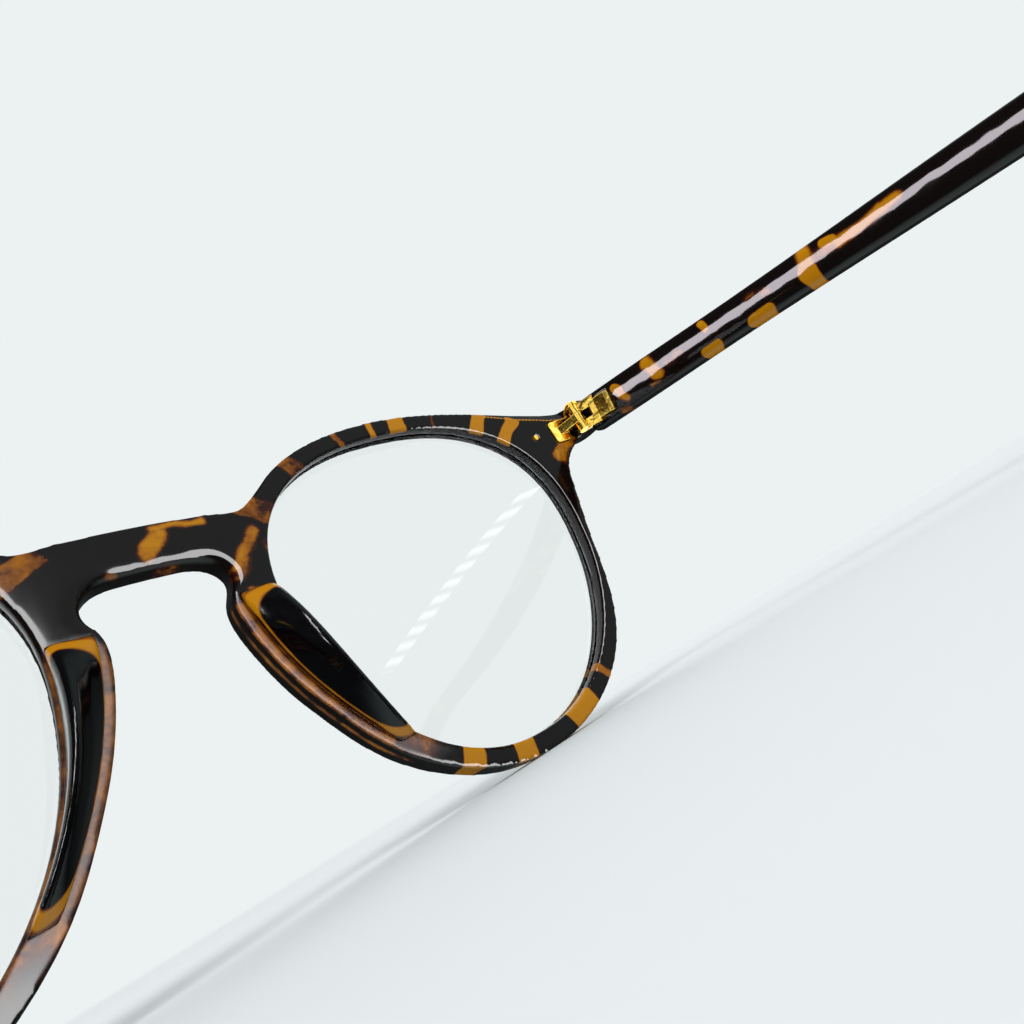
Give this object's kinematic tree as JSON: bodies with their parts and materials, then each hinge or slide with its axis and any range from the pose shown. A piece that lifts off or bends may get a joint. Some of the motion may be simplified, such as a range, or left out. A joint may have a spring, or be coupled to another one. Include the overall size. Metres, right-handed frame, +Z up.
{
  "type": "spectacles",
  "caption": "Round-lens spectacles in glossy tortoiseshell plastic, with bonded nose pads and folding temples on gold barrel hinges.",
  "frame": {"origin": "bottom centre of the open spectacles' bounding box, on the plane that the rims and temple tips stand on", "axes": "+Z up, the front faces -Y, the temples run back along +Y, and the wearer's left is +X"},
  "size_m": [0.1438, 0.1478, 0.0509],
  "materials": {
    "tortoiseshell": "polished, dark brown with amber patches",
    "nose_pad_plastic": "polished, near black with amber edges",
    "lens_clear": "clear, coated",
    "hinge_gold": "polished, gold plated",
    "core_steel": "drawn wire"
  },
  "bodies": {
    "front": {"front_frame": "tortoiseshell", "lens_left": "lens_clear", "lens_right": "lens_clear", "nose_pad_left": "nose_pad_plastic", "nose_pad_right": "nose_pad_plastic", "front_hinge_leaf_left": "hinge_gold", "front_hinge_leaf_right": "hinge_gold", "front_hinge_pin_left": "hinge_gold", "front_hinge_pin_right": "hinge_gold"},
    "temple_left": {"temple_left": "tortoiseshell", "temple_core_left": "core_steel", "temple_hinge_leaf_left": "hinge_gold", "temple_hinge_pins_left": "hinge_gold", "hinge_screw_left": "hinge_gold"},
    "temple_right": {"temple_right": "tortoiseshell", "temple_core_right": "core_steel", "temple_hinge_leaf_right": "hinge_gold", "temple_hinge_pins_right": "hinge_gold", "hinge_screw_right": "hinge_gold"}
  },
  "joints": [
    {"name": "fold_left", "type": "hinge", "parent": "front", "child": "temple_left", "pos_m": [0.0645, -0.0588, 0.04055], "axis": [0, 0, 1], "range_deg": [0, 91]},
    {"name": "fold_right", "type": "hinge", "parent": "front", "child": "temple_right", "pos_m": [-0.0645, -0.0588, 0.04055], "axis": [0, 0, -1], "range_deg": [0, 84]}
  ]
}
